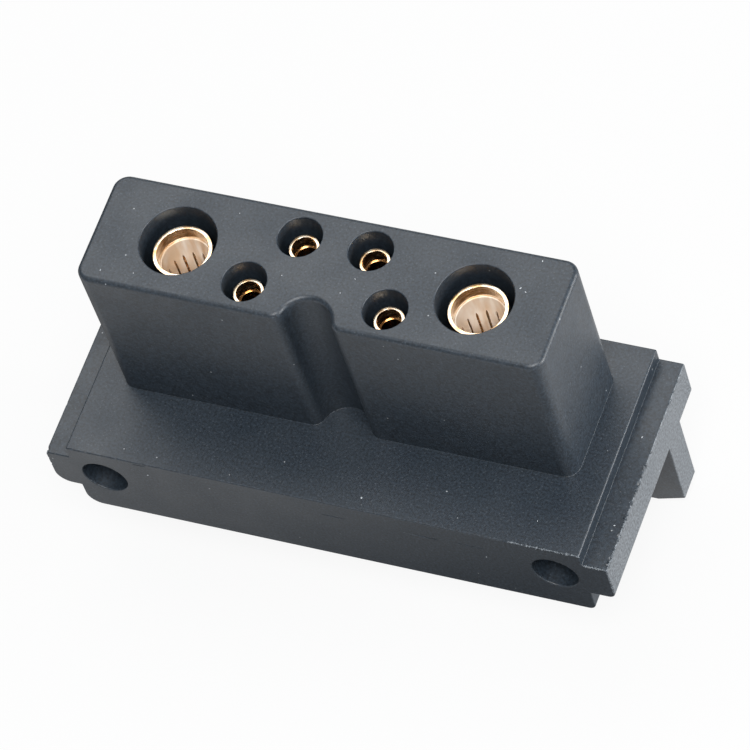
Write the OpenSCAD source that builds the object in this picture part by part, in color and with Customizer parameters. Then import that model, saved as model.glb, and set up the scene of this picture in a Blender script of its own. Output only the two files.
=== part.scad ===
// Rectangular power and signal connector socket: a moulded housing with two large and four small turned
// contacts. The origin is the middle of the two screw holes, on the base's front face. +X runs along the
// long side, +Y to the back and +Z to the mating side. Sizes are in millimetres.

/* [Contact layout] */
// Distance between the two power contacts
power_pitch = 23.8; // [22:0.1:30]
// Distance between the two front signal contacts
signal_front_pitch = 11.3; // [9:0.1:12.5]
// Distance between the two back signal contacts
signal_back_pitch = 5.7; // [4.5:0.1:8]
// Distance between the front and the back signal row
signal_row_gap = 4.6; // [4:0.1:7]

/* [Tower] */
// Height of the tower above the plate
tower_h = 15.4; // [12:0.1:22]
// Wall between a power cavity and the tower's end
tower_end_wall = 3.8; // [2:0.1:6]
// Wall between a signal cavity and the tower's front or back
tower_side_wall = 0.78; // [0.6:0.01:2]
// Radius of the tower's upright corners
tower_corner_r = 1.2; // [0.6:0.1:2]
// Round on the edge of the mating face
face_edge_r = 0.4; // [0.1:0.05:0.5]

/* [Keyway] */
// Radius of the half-round keyway in the tower's front
keyway_r = 2.05; // [1.5:0.05:2.5]
// Depth of the keyway
keyway_depth = 2.15; // [1.2:0.05:2.4]
// Round on the keyway's two lips
keyway_lip_r = 0.9; // [0.3:0.05:1.2]

/* [Base] */
// Base in front of the tower
front_land = 6.3; // [5:0.1:9]
// Base behind the tower
back_land = 2.6; // [2:0.1:5]
// Plate beyond each end of the tower
plate_end = 2.3; // [1.5:0.1:5]
// Step from the plate's top down to the tongues
step_h = 1.3; // [0.8:0.05:2]
// Reach of each tongue beyond the plate
tongue_reach = 2; // [1:0.1:4]
// Thickness of the tongues
tongue_t = 4.1; // [3.2:0.05:6]
// Drop of the front beam below the tongues
beam_drop = 2.5; // [1:0.05:5]
// Thickness of the front beam, from front to back
beam_t = 5.6; // [4:0.1:7]
// Round on the base's long edges
base_edge_r = 0.3; // [0.1:0.05:0.5]

/* [Legs] */
// Length of each leg along the base
leg_len = 5; // [3:0.1:7]
// Thickness of the legs, from front to back
leg_t = 2.5; // [1.5:0.1:4]
// Drop of the legs below the tongues, at their outer ends
leg_drop = 7; // [4:0.05:10]
// Further drop of the legs' slanted tips
leg_tip_drop = 1; // [0.2:0.05:2]
// Length of the slant on the legs' tips, along the base
leg_tip_len = 2.3; // [1:0.1:2.8]
// Distance from the base's back to the legs
leg_setback = 2.9; // [1.5:0.1:4]

/* [Screw holes] */
// Diameter of the screw holes
screw_d = 3.7; // [2.5:0.1:4.3]
// Distance from a screw hole's axis to the plate's end
screw_inset = 2.5; // [2.4:0.1:4]
// Distance from the plate's top down to the screw holes' axis
screw_below_top = 3.4; // [3:0.1:4]
// Room around the screw in the pocket behind its hole
pocket_room = 0.1; // [0.05:0.05:0.3]

/* [Contacts] */
// Depth of the contacts' rims below the mating face
rim_recess = 1.5; // [0.5:0.1:3]
// Housing floor that carries the contacts
floor_t = 5.9; // [4:0.05:7]
// Solid web between the pin bore and the shank
contact_web = 2; // [1.5:0.1:3]
// Pin bore below the spring's seat
tip_relief = 2.4; // [1.5:0.1:3]
// Depth of the spring below the rim
spring_inset = 1.25; // [0.6:0.05:2]
// Number of beams in a crown spring
spring_beams = 15; // [8:1:18]
// Share of the spring's round that the beams fill
spring_fill = 0.76; // [0.5:0.02:0.86]
// Width of the step under a spring, beyond its sheet
seat_margin = 0.07; // [0.02:0.01:0.08]
// Edge break on the outside of a contact's rim
rim_round = 0.06; // [0.02:0.01:0.08]
// Flare at the mouth of a pin bore
mouth_flare = 0.08; // [0.02:0.01:0.1]
// Depth of the cone at the floor of a pin bore
drill_point = 0.3; // [0.1:0.05:0.5]
// Solid metal between a retaining ring's groove and the solder cup
cup_web = 0.9; // [0.5:0.1:1.5]
// Closed part of a solder cup, above its open side
cup_ring = 1.2; // [0.5:0.1:1.5]

/* [Power contact] */
// Diameter of a power cavity
power_cavity_d = 6; // [5.6:0.1:7]
// Outer diameter of a power contact's barrel
power_barrel_d = 4.6; // [4.4:0.05:5.2]
// Diameter of a power contact's pin bore
power_bore_d = 4; // [3.8:0.05:4.1]
// Diameter of the throat in a power spring
power_throat_d = 3.56; // [3.5:0.01:3.6]
// Diameter of a power contact's shank and solder cup
power_shank_d = 3.4; // [3:0.1:4]
// Thickness of a power contact's collar
power_collar_t = 1.2; // [0.8:0.1:1.5]
// Length of a power solder cup
power_cup_len = 5.5; // [4:0.1:7]
// Inner diameter of a power solder cup
power_cup_d = 2.5; // [2:0.1:2.6]

/* [Signal contact] */
// Diameter of a signal cavity
signal_cavity_d = 3.44; // [3.2:0.02:3.8]
// Outer diameter of a signal contact's barrel
signal_barrel_d = 2.36; // [2.3:0.02:2.7]
// Diameter of a signal contact's pin bore
signal_bore_d = 1.9; // [1.8:0.02:2]
// Diameter of the throat in a signal spring
signal_throat_d = 1.54; // [1.45:0.01:1.6]
// Diameter of a signal contact's shank and solder cup
signal_shank_d = 1.7; // [1.5:0.1:2]
// Thickness of a signal contact's collar
signal_collar_t = 0.9; // [0.6:0.1:1.2]
// Length of a signal solder cup
signal_cup_len = 4; // [3:0.1:6]
// Inner diameter of a signal solder cup
signal_cup_d = 1.2; // [0.9:0.1:1.3]

/* [Springs and retaining rings] */
// Sheet thickness of a power spring
power_spring_t = 0.1; // [0.06:0.01:0.12]
// Sheet thickness of a signal spring
signal_spring_t = 0.08; // [0.05:0.01:0.1]
// Height of the straight band at each end of a spring
spring_band_h = 1.8; // [0.4:0.05:2]
// Flare on the inside of a spring's bands, towards their ends
band_flare = 0.02; // [0.01:0.01:0.04]
// Distance from a band to the slots between the beams
slot_inset = 0.1; // [0.05:0.05:0.5]
// Thickness of a retaining ring
clip_t = 0.6; // [0.4:0.05:0.8]
// Depth of the groove for a retaining ring
clip_groove = 0.35; // [0.2:0.05:0.4]
// Reach of a retaining ring beyond the shank
clip_reach = 0.7; // [0.4:0.05:0.8]
// Opening of a retaining ring, in degrees
clip_opening = 70; // [50:5:100]

/* [Fits] */
// Radial clearance of a collar in its cavity
collar_clear = 0.15; // [0.05:0.05:0.25]
// Clearance of a collar over the cavity's floor
seat_clear = 0.01; // [0.005:0.005:0.03]
// Radial clearance of a shank in the housing's floor
shank_clear = 0.05; // [0.02:0.01:0.15]
// Clearance of a retaining ring in its groove and under the housing
clip_clear = 0.03; // [0.02:0.01:0.06]
// Radial clearance of a spring's bands in the pin bore
spring_clear = 0.01; // [0.005:0.005:0.02]

/* [Hidden] */

// Smoothness of round surfaces
round_fn = 96;
// Steps along the bow of a spring's beams, an even number
bow_steps = 6;
// How far a cutter runs past the face that it opens, and a leg into its tongue
over = 1;

// Lengths and depths
tower_len = power_pitch + power_cavity_d + 2 * tower_end_wall;
tower_dep = signal_row_gap + signal_cavity_d + 2 * tower_side_wall;
plate_len = tower_len + 2 * plate_end;
base_len = plate_len + 2 * tongue_reach;
base_dep = front_land + tower_dep + back_land;
centre_y = front_land + tower_dep / 2;
leg_front = base_dep - leg_setback - leg_t;
screw_x = plate_len / 2 - screw_inset;
pocket_len = screw_d + 2 * pocket_room;

// Heights
plate_top = screw_below_top;
tongue_top = plate_top - step_h;
underside = tongue_top - tongue_t;
beam_bottom = underside - beam_drop;
leg_bottom = underside - leg_drop;
tower_top = plate_top + tower_h;
pocket_roof = screw_d / 2 + pocket_room;
floor_z = underside + floor_t;
rim_z = tower_top - rim_recess;
bore_floor_z = floor_z + contact_web;
spring_seat_z = bore_floor_z + tip_relief;
spring_top_z = rim_z - spring_inset;
clip_top_z = underside - clip_clear;
groove_bottom_z = clip_top_z - clip_t - clip_clear;

// Places of the contacts, as [x, y]
power_left = [-power_pitch / 2, centre_y];
power_right = [power_pitch / 2, centre_y];
signal_front_left = [-signal_front_pitch / 2, centre_y - signal_row_gap / 2];
signal_front_right = [signal_front_pitch / 2, centre_y - signal_row_gap / 2];
signal_back_left = [-signal_back_pitch / 2, centre_y + signal_row_gap / 2];
signal_back_right = [signal_back_pitch / 2, centre_y + signal_row_gap / 2];
power_places = [power_left, power_right];
signal_places = [signal_front_left, signal_front_right, signal_back_left, signal_back_right];

// Rectangle centred on x with its foot at y = 0 and round corners
module soft_rect(w, h, r) {
    translate([-w / 2 + r, 0]) square([w - 2 * r, h]);
    translate([-w / 2, r]) square([w, h - 2 * r]);
    for (x = [-w / 2 + r, w / 2 - r], y = [r, h - r])
        translate([x, y]) circle(r, $fn = round_fn);
}

// Upright section of the tower's wall at a corner: round on its upper outer edge
module corner_section() {
    r = tower_corner_r;
    e = face_edge_r;
    square([r, tower_h - e]);
    square([r - e, tower_h]);
    translate([r - e, tower_h - e]) circle(e, $fn = round_fn);
}

// Section of the tower across a width w: round on both upper edges
module span_section(w) {
    e = face_edge_r;
    translate([-w / 2, 0]) square([w, tower_h - e]);
    translate([-w / 2 + e, 0]) square([w - 2 * e, tower_h]);
    for (x = [-w / 2 + e, w / 2 - e])
        translate([x, tower_h - e]) circle(e, $fn = round_fn);
}

module tower_block() {
    r = tower_corner_r;
    flat_x = tower_len - 2 * r;
    flat_y = tower_dep - 2 * r;
    translate([0, centre_y, plate_top]) {
        rotate([90, 0, 90]) translate([0, 0, -flat_x / 2]) linear_extrude(flat_x) span_section(tower_dep);
        rotate([90, 0, 0]) translate([0, 0, -flat_y / 2]) linear_extrude(flat_y) span_section(tower_len);
        for (x = [-flat_x / 2, flat_x / 2], y = [-flat_y / 2, flat_y / 2])
            translate([x, y]) rotate_extrude($fn = round_fn) corner_section();
    }
}

// Outline of the keyway: a half round that runs out to the front face over two round lips
module keyway_outline() {
    inside = keyway_depth - keyway_r;
    lip_x = sqrt(pow(keyway_r + keyway_lip_r, 2) - pow(keyway_lip_r - inside, 2));
    translate([0, inside]) circle(keyway_r, $fn = round_fn);
    difference() {
        polygon([
            [-lip_x, -over], [lip_x, -over], [lip_x, keyway_lip_r], [0, inside], [-lip_x, keyway_lip_r]
        ]);
        for (x = [-lip_x, lip_x])
            translate([x, keyway_lip_r]) circle(keyway_lip_r, $fn = round_fn);
    }
}

// A bar of the base that runs along Y from the front face, w wide between the heights low and high
module base_bar(w, low, high, dep, edge) {
    translate([0, dep, low]) rotate([90, 0, 0]) linear_extrude(dep) soft_rect(w, high - low, edge);
}

module base_block() {
    base_bar(plate_len, underside, plate_top, base_dep, base_edge_r);
    base_bar(base_len, underside, tongue_top, base_dep, base_edge_r);
    base_bar(plate_len, beam_bottom, tongue_top, beam_t, base_edge_r);
    leg();
    mirror([1, 0, 0]) leg();
}

// Leg at the right end: flush with the tongue's end, with a tip that slants down to the middle
module leg() {
    outer = base_len / 2;
    inner = outer - leg_len;
    top = underside + over;
    tip = leg_bottom - leg_tip_drop;
    translate([0, leg_front + leg_t, 0]) rotate([90, 0, 0]) linear_extrude(leg_t)
        polygon([[outer, top], [inner, top], [inner, tip], [outer - leg_tip_len, tip], [outer, leg_bottom]]);
}

// Cavity with its floor, and the shank's hole through that floor
module contact_hole(place, cavity_d, shank_d) {
    translate([place.x, place.y, floor_z])
        cylinder(d = cavity_d, h = tower_top - floor_z + over, $fn = round_fn);
    translate([place.x, place.y, underside - over])
        cylinder(d = shank_d + 2 * shank_clear, h = floor_t + 2 * over, $fn = round_fn);
}

module screw_hole(x) {
    translate([x, -over, 0]) rotate([-90, 0, 0]) cylinder(d = screw_d, h = beam_t + 2 * over, $fn = round_fn);
    translate([x - pocket_len / 2, beam_t, underside - over])
        cube([pocket_len, leg_front - beam_t, pocket_roof - underside + over]);
}

module housing() {
    color("#3b3f44") difference() {
        union() {
            tower_block();
            base_block();
        }
        translate([0, front_land, plate_top]) linear_extrude(tower_h + over) keyway_outline();
        for (place = power_places) contact_hole(place, power_cavity_d, power_shank_d);
        for (place = signal_places) contact_hole(place, signal_cavity_d, signal_shank_d);
        for (x = [-screw_x, screw_x]) screw_hole(x);
    }
}

// Turned socket: barrel with the pin bore, collar on the cavity's floor, grooved shank and solder cup
module contact(place, cavity_d, barrel_d, bore_d, sheet_t, shank_d, collar_t, cup_len, cup_d) {
    barrel_r = barrel_d / 2;
    bore_r = bore_d / 2;
    tip_r = bore_r - spring_clear - sheet_t - seat_margin;
    shank_r = shank_d / 2;
    groove_r = shank_r - clip_groove;
    collar_r = cavity_d / 2 - collar_clear;
    collar_z = floor_z + seat_clear;
    collar_top = collar_z + collar_t;
    tail_z = groove_bottom_z - cup_len;
    cup_floor_z = groove_bottom_z - cup_web;
    outline = [
        [cup_d / 2, tail_z], [shank_r, tail_z], [shank_r, groove_bottom_z], [groove_r, groove_bottom_z],
        [groove_r, underside], [shank_r, underside], [shank_r, collar_z], [collar_r, collar_z],
        [collar_r, collar_top], [barrel_r, collar_top], [barrel_r, rim_z - rim_round],
        [barrel_r - rim_round, rim_z], [bore_r + mouth_flare, rim_z], [bore_r, rim_z - mouth_flare],
        [bore_r, spring_seat_z], [tip_r, spring_seat_z], [tip_r, bore_floor_z],
        [0, bore_floor_z - drill_point], [0, cup_floor_z], [cup_d / 2, cup_floor_z]
    ];
    color("#d8b26a") translate([place.x, place.y]) difference() {
        rotate_extrude($fn = round_fn) polygon(outline);
        translate([-shank_d, -shank_d, tail_z - over])
            cube([2 * shank_d, shank_d, cup_floor_z - cup_ring - tail_z + over]);
    }
}

// Crown spring: a closed band at each end, joined by beams that bow in to the throat, with slots between
module crown_spring(place, bore_d, throat_d, sheet_t) {
    band_r = bore_d / 2 - spring_clear;
    inner_r = band_r - sheet_t;
    low = spring_seat_z + spring_band_h;
    high = spring_top_z - spring_band_h;
    bow = inner_r - throat_d / 2;
    shares = [for (i = [0 : bow_steps]) 2 * i / bow_steps - 1];
    wall = [for (s = shares) [throat_d / 2 + bow * s * s, low + (high - low) * (s + 1) / 2]];
    back = [for (i = [bow_steps : -1 : 0]) wall[i] + [sheet_t, 0]];
    end_r = inner_r + band_flare;
    foot = [[band_r, spring_seat_z], [end_r, spring_seat_z]];
    head = [[end_r, spring_top_z], [band_r, spring_top_z]];
    outline = concat(foot, wall, head, back);
    slot_pitch = 360 / spring_beams;
    color("#c9a15a") translate([place.x, place.y]) difference() {
        rotate_extrude($fn = round_fn) polygon(outline);
        for (i = [0 : spring_beams - 1])
            rotate([0, 0, i * slot_pitch])
                rotate_extrude(angle = slot_pitch * (1 - spring_fill), $fn = round_fn)
                    translate([throat_d / 2 - sheet_t, low + slot_inset])
                        square([band_r, high - low - 2 * slot_inset]);
    }
}

// Open retaining ring in the shank's groove, under the housing
module clip(place, shank_d) {
    inner_r = shank_d / 2 - clip_groove + clip_clear;
    outer_r = shank_d / 2 + clip_reach;
    color("#8f9398") translate([place.x, place.y, clip_top_z - clip_t])
        rotate([0, 0, clip_opening / 2 + 90])
            rotate_extrude(angle = 360 - clip_opening, $fn = round_fn)
                translate([inner_r, 0]) square([outer_r - inner_r, clip_t]);
}

module power_contact(place) {
    contact(place, power_cavity_d, power_barrel_d, power_bore_d, power_spring_t, power_shank_d,
        power_collar_t, power_cup_len, power_cup_d);
}

module signal_contact(place) {
    contact(place, signal_cavity_d, signal_barrel_d, signal_bore_d, signal_spring_t, signal_shank_d,
        signal_collar_t, signal_cup_len, signal_cup_d);
}

module power_spring(place) {
    crown_spring(place, power_bore_d, power_throat_d, power_spring_t);
}

module signal_spring(place) {
    crown_spring(place, signal_bore_d, signal_throat_d, signal_spring_t);
}

housing();
power_contact(power_left);  // power_contact_left
power_contact(power_right);  // power_contact_right
power_spring(power_left);  // power_spring_left
power_spring(power_right);  // power_spring_right
clip(power_left, power_shank_d);  // power_clip_left
clip(power_right, power_shank_d);  // power_clip_right
signal_contact(signal_front_left);  // signal_contact_front_left
signal_contact(signal_front_right);  // signal_contact_front_right
signal_contact(signal_back_left);  // signal_contact_back_left
signal_contact(signal_back_right);  // signal_contact_back_right
signal_spring(signal_front_left);  // signal_spring_front_left
signal_spring(signal_front_right);  // signal_spring_front_right
signal_spring(signal_back_left);  // signal_spring_back_left
signal_spring(signal_back_right);  // signal_spring_back_right
clip(signal_front_left, signal_shank_d);  // signal_clip_front_left
clip(signal_front_right, signal_shank_d);  // signal_clip_front_right
clip(signal_back_left, signal_shank_d);  // signal_clip_back_left
clip(signal_back_right, signal_shank_d);  // signal_clip_back_right
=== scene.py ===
"""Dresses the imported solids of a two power, four signal connector socket for a studio picture."""
import math
import random

import bmesh
import bpy
from bpy.props import FloatProperty, FloatVectorProperty, IntProperty, PointerProperty
from bpy.types import NodeSocket, Operator, Panel, PropertyGroup
from mathutils import Matrix, Vector


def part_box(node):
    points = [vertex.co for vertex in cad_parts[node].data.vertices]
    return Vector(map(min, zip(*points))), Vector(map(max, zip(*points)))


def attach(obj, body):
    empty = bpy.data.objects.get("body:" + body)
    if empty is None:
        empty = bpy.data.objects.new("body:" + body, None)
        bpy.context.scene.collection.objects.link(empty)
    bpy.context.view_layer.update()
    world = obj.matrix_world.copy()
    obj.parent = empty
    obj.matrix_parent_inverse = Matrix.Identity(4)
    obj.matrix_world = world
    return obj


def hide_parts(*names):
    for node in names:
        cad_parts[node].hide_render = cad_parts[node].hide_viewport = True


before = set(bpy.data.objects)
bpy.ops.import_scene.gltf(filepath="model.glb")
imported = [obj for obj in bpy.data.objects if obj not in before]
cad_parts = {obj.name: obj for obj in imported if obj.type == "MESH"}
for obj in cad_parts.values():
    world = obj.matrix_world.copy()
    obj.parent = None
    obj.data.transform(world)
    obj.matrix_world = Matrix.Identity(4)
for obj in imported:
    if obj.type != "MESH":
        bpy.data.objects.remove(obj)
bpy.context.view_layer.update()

bl_info = {
    "name": "Power and Signal Socket",
    "version": (1, 0, 0),
    "blender": (4, 5, 0),
    "location": "View3D > Sidebar > Socket",
    "description": "Finishes a moulded socket with two power and four signal contacts",
    "category": "Object",
}

MM = 0.001

# Values that the frame gives, and its contacts by kind and place
BODY = "root"
HOUSING_LOW, HOUSING_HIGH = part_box("housing")
CONTACTS = (
    ("power", "left"), ("power", "right"),
    ("signal", "front_left"), ("signal", "front_right"), ("signal", "back_left"), ("signal", "back_right"),
)

# Points closer than this are one point, and a cutter runs this far past what it opens
WELD = 1e-8
OVER = 1.0 * MM
# A leg stands this far inside the end face, so that the two don't lie in one plane
LEG_GAP = 0.01 * MM

# Steps in the arcs of an outline, and facets around the cutters of the housing
KEYWAY_STEPS, TOWER_STEPS, CORNER_STEPS, EDGE_STEPS, RIM_STEPS, FILLET_STEPS = 12, 10, 8, 6, 5, 4
CAVITY_SEGMENTS, SCREW_SEGMENTS = 96, 72


# Settings that a user may change

def linear(colour):
    """Linear colour of an sRGB hex value."""
    shares = [int(colour[i:i + 2], 16) / 255 for i in (1, 3, 5)]
    return tuple(c / 12.92 if c <= 0.04045 else ((c + 0.055) / 1.055) ** 2.4 for c in shares)


def length(label, about, size_mm):
    """A length property, given in millimetres and kept in metres."""
    return FloatProperty(name=label, description=about, default=size_mm * MM, precision=5, unit="LENGTH")


def turn(label, about, degrees):
    """An angle property, given in degrees and kept in radians."""
    return FloatProperty(name=label, description=about, default=math.radians(degrees), unit="ROTATION")


def share(label, about, value):
    """A share between 0 and 1."""
    return FloatProperty(name=label, description=about, default=value, min=0.0, max=1.0, subtype="FACTOR")


def power(label, about, watts):
    """The power of a lamp in watts."""
    return FloatProperty(name=label, description=about, default=watts, min=0.0, unit="POWER")


def tint(label, about, colour):
    """A colour property, given as an sRGB hex value."""
    return FloatVectorProperty(
        name=label, description=about, default=linear(colour), subtype="COLOR", min=0.0, max=1.0)


class HousingSizes(PropertyGroup):
    """Sizes of the moulded housing, and the seed of its nicks"""

    tower_len: length("Tower length", "Long side of the tower", 37.4)
    tower_dep: length("Tower depth", "Short side of the tower", 9.6)
    tower_corner_r: length("Tower corner", "Round of the tower's upright edges", 1.2)
    face_edge_r: length("Face edge", "Round around the mating face", 0.4)
    foot_r: length("Foot fillet", "Fillet where the tower stands on the plate", 0.03)
    keyway_r: length("Keyway", "Radius of the keyway in the tower's front", 2.05)
    keyway_depth: length("Keyway depth", "How far the keyway goes in", 2.15)
    keyway_lip_r: length("Keyway lip", "Round between the keyway and the front face", 0.9)
    front_land: length("Front land", "Plate in front of the tower", 6.3)
    plate_len: length("Plate length", "Long side of the plate and of the beam under it", 42.0)
    plate_top: length("Plate top", "Height of the plate above the screws", 3.4)
    tongue_top: length("Tongue top", "Height of the end tongues above the screws", 2.1)
    underside: length("Underside", "Height of the plate's underside", -2.0)
    beam_bottom: length("Beam bottom", "Height of the front beam's underside", -4.5)
    beam_t: length("Beam thickness", "Front beam from front to back", 5.6)
    rim_r: length("Rim round", "Round along the front and back edges of the base", 0.1)
    edge_r: length("Edge round", "Round along the upper end edges of the base", 0.16)
    left_corner_r: length("Left corner", "Round of the lower edges at the left end", 1.25)
    right_corner_r: length("Right corner", "Round of the lower edges at the right end", 0.6)
    inner_corner_r: length("Inner corner", "Fillet in the inner corners of the base's ends", 0.04)
    leg_len: length("Leg length", "Width of a leg along the long side", 5.0)
    leg_t: length("Leg thickness", "Leg from front to back", 2.5)
    leg_front: length("Leg front", "Front of the legs behind the front face", 13.1)
    leg_tip_drop: length("Leg slant", "How much the leg's outer side is shorter", 1.0)
    leg_tip_len: length("Leg slant length", "Length of the leg's slanted tip", 2.3)
    screw_d: length("Screw hole", "Diameter of the two screw holes", 3.7)
    screw_x: length("Screw place", "Screw hole from the middle", 18.5)
    pocket_room: length("Pocket room", "Room around the hole in the pocket behind it", 0.1)
    cavity_floor: length("Cavity floor", "Height of the contact cavities' floor", 3.9)
    mouth_r: length("Mouth round", "Round around the mouth of a cavity", 0.1)
    power_cavity_d: length("Power cavity", "Diameter of a power contact's cavity", 6.0)
    signal_cavity_d: length("Signal cavity", "Diameter of a signal contact's cavity", 3.44)
    power_shank_hole_d: length("Power shank hole", "Diameter of the hole for a power shank", 3.5)
    signal_shank_hole_d: length("Signal shank hole", "Diameter of the hole for a signal shank", 1.8)
    nick_seed: IntProperty(name="Nick seed", description="Seed of the small nicks along the edges", default=7)


class ContactSizes(PropertyGroup):
    """Sizes of the turned contacts"""

    power_barrel_d: length("Power barrel", "Outer diameter of a power barrel", 4.6)
    power_bore_d: length("Power bore", "Bore of a power barrel", 4.0)
    power_tip_d: length("Power tip bore", "Bore below the power spring", 3.64)
    power_shank_d: length("Power shank", "Diameter of a power shank", 3.4)
    power_collar_t: length("Power collar", "Thickness of a power collar", 1.2)
    power_cup_d: length("Power cup", "Bore of a power solder cup", 2.5)
    signal_barrel_d: length("Signal barrel", "Outer diameter of a signal barrel", 2.36)
    signal_bore_d: length("Signal bore", "Bore of a signal barrel", 1.9)
    signal_tip_d: length("Signal tip bore", "Bore below the signal spring", 1.58)
    signal_shank_d: length("Signal shank", "Diameter of a signal shank", 1.7)
    signal_collar_t: length("Signal collar", "Thickness of a signal collar", 0.9)
    signal_cup_d: length("Signal cup", "Bore of a signal solder cup", 1.2)
    collar_z: length("Collar seat", "Height of the collars' underside", 3.91)
    bore_floor: length("Bore floor", "Height of the floor of the pin bores", 5.9)
    drill_point: length("Drill point", "Depth of the drill's cone in a bore floor", 0.3)
    groove_bottom: length("Groove bottom", "Height of the lower side of the ring groove", -2.66)
    groove_depth: length("Groove depth", "Depth of the ring groove", 0.35)
    cup_web: length("Cup web", "Metal between the ring groove and the solder cup", 0.9)
    cup_ring: length("Cup ring", "Full ring left above the cup's cut", 1.2)
    edge_r: length("Turned edge", "Round on the turned edges", 0.06)
    step_r: length("Step round", "Round on the step that a spring stands on", 0.02)
    rim_share: share("Rim round", "Round of the barrel's rim as a share of its wall", 0.12)
    segments: IntProperty(name="Segments", description="Facets around a turned part", default=128)


class SpringSizes(PropertyGroup):
    """Sizes of the crown springs"""

    power_throat_d: length("Power throat", "Narrowest width of a power spring", 3.56)
    signal_throat_d: length("Signal throat", "Narrowest width of a signal spring", 1.54)
    power_sheet: length("Power sheet", "Sheet thickness of a power spring", 0.1)
    signal_sheet: length("Signal sheet", "Sheet thickness of a signal spring", 0.08)
    band_h: length("Band height", "Height of the closed band at each end", 1.8)
    beams: IntProperty(name="Beams", description="Number of beams in a spring", default=15)
    fill: share("Fill", "Share of a beam in its pitch", 0.76)
    across: IntProperty(name="Points across", description="Points across a beam", default=9)
    along: IntProperty(name="Points along", description="Points along a beam and its bands", default=72)


class ClipSizes(PropertyGroup):
    """Sizes of the retaining rings"""

    clear: length("Clearance", "Room between a ring and its groove", 0.03)
    opening: turn("Opening", "Angle left open behind the shank", 70.0)
    edge_r: length("Stamped edge", "Round on the stamped edges", 0.08)
    segments: IntProperty(name="Segments", description="Facets around a ring", default=72)


class CrumbSizes(PropertyGroup):
    """Sizes of the bits of flash and dust"""

    flash_spacing: length("Flash spacing", "Distance between bits of torn mould flash", 0.13)
    flash_reach: length("Flash reach", "Half the length of a large bit of flash", 0.16)
    dust_reach: length("Dust reach", "Half the length of a large speck of dust", 0.13)
    seed: IntProperty(name="Seed", description="Seed of the bits' sizes and turns", default=3)


class FinishColours(PropertyGroup):
    """Colours of the materials and of the room"""

    nylon: tint("Nylon", "Middle tone of the moulded nylon", "#262f38")
    nylon_dark: tint("Nylon dark", "Dark tone of its grain", "#151b21")
    nylon_fibre: tint("Fibre", "Glass fibre ends at its surface", "#666c72")
    dust: tint("Dust", "Specks of dust on the nylon", "#b4b8bb")
    # Pale torn nylon, also used as the painted highlight on the housing's outer end faces
    torn_and_painted_highlight: tint("Torn nylon", "Stressed nylon along a torn edge", "#8f959a")
    gold: tint("Gold plating", "Plated turned metal", "#f6ead6")
    gold_dark: tint("Gold tarnish", "Duller plating in the turning marks", "#cba374")
    # The springs' plating as lit and shaded copies: painted lit for the power springs, painted shaded for the
    # signal springs
    spring_gold_painted_lit: tint("Spring plating", "Plated spring alloy", "#fff6ea")
    spring_dark_painted_lit: tint("Spring tarnish", "Duller plating on the springs", "#ecd2b4")
    spring_gold_painted_shaded: tint("Bright plating", "Bright plated signal springs", "#dfbd92")
    spring_dark_painted_shaded: tint("Bright tarnish", "Duller plating on the signal springs", "#b98a58")
    steel: tint("Spring steel", "Stamped retaining rings", "#8f9398")
    steel_dark: tint("Steel grain", "Darker grain of the rings", "#6b6f74")
    floor: tint("Floor", "Pale studio floor", "#b8b8b8")
    room: tint("Room", "Light of the room", "#e6edf5")


class StageSettings(PropertyGroup):
    """Camera, lamps and floor"""

    lens: FloatProperty(name="Lens", description="Focal length in millimetres", default=278.83)
    azimuth: turn("Azimuth", "Camera around the object, from the front to the right", 37.5197)
    elevation: turn("Elevation", "Camera above the horizon", 55.8185)
    roll: turn("Roll", "Turn of the camera about its own axis", -20.952)
    distance: length("Distance", "Camera from the point that it looks at", 439.127)
    look_x: length("Look X", "Point that the camera looks at, along X", 1.0788)
    look_y: length("Look Y", "Point that the camera looks at, along Y", 10.8187)
    look_z: length("Look Z", "Point that the camera looks at, along Z", 4.7988)
    key: power("Key", "Softbox above and behind the object", 2.2)
    side: power("Side", "Softbox low at the right of the object", 5.5)
    near: power("Near", "Softbox above the camera, which reaches into the contacts", 4.6)
    fill: share("Fill", "Strength of the room's own light", 0.35)
    floor_white: share("Floor white", "Share of plain white in the floor that the camera sees", 0.9)
    # Painted reflection: the white that glossy rays see in the floor, and the painted shadow in it close to
    # the object's front
    floor_painted_reflection: share("Floor gleam", "White that glossy surfaces mirror, where it is full", 1.0)
    floor_painted_shadow: share("Floor dim", "White that glossy surfaces mirror close to the object's front", 0.12)


# Tools shared by the pieces

def feed(tree, node, inputs):
    """Sets a node's inputs, each to a value, an output or a list of outputs."""
    for socket, value in inputs.items():
        for source in value if isinstance(value, list) else [value]:
            if isinstance(source, NodeSocket):
                tree.links.new(source, node.inputs[socket])
            else:
                node.inputs[socket].default_value = source


def add(tree, kind, inputs=None, out=0, **fields):
    """Adds a node with its fields and inputs, and gives one of its outputs."""
    node = tree.nodes.new(kind)
    for field, value in fields.items():
        setattr(node, field, value)
    feed(tree, node, inputs or {})
    return node.outputs[out]


def make(name, mesh, material=None):
    """An object at the origin from a finished bmesh."""
    data = bpy.data.meshes.new(name)
    mesh.to_mesh(data)
    mesh.free()
    thing = bpy.data.objects.new(name, data)
    bpy.context.scene.collection.objects.link(thing)
    if material:
        data.materials.append(material)
    return thing


def settle(thing):
    """Turns what a piece's modifiers make into its plain mesh."""
    graph = bpy.context.evaluated_depsgraph_get()
    data = bpy.data.meshes.new_from_object(thing.evaluated_get(graph), depsgraph=graph)
    old = thing.data
    thing.modifiers.clear()
    thing.data = data
    bpy.data.meshes.remove(old)
    data.name = thing.name


def combine(thing, others, operation):
    """Joins a piece with others or cuts them out of it, and takes the others away."""
    for other in others:
        step = thing.modifiers.new(operation, "BOOLEAN")
        step.operation = operation
        step.solver = "EXACT"
        step.use_self = True
        step.object = other
        other.hide_render = True
    settle(thing)
    for other in others:
        data = other.data
        bpy.data.objects.remove(other)
        bpy.data.meshes.remove(data)


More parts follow.
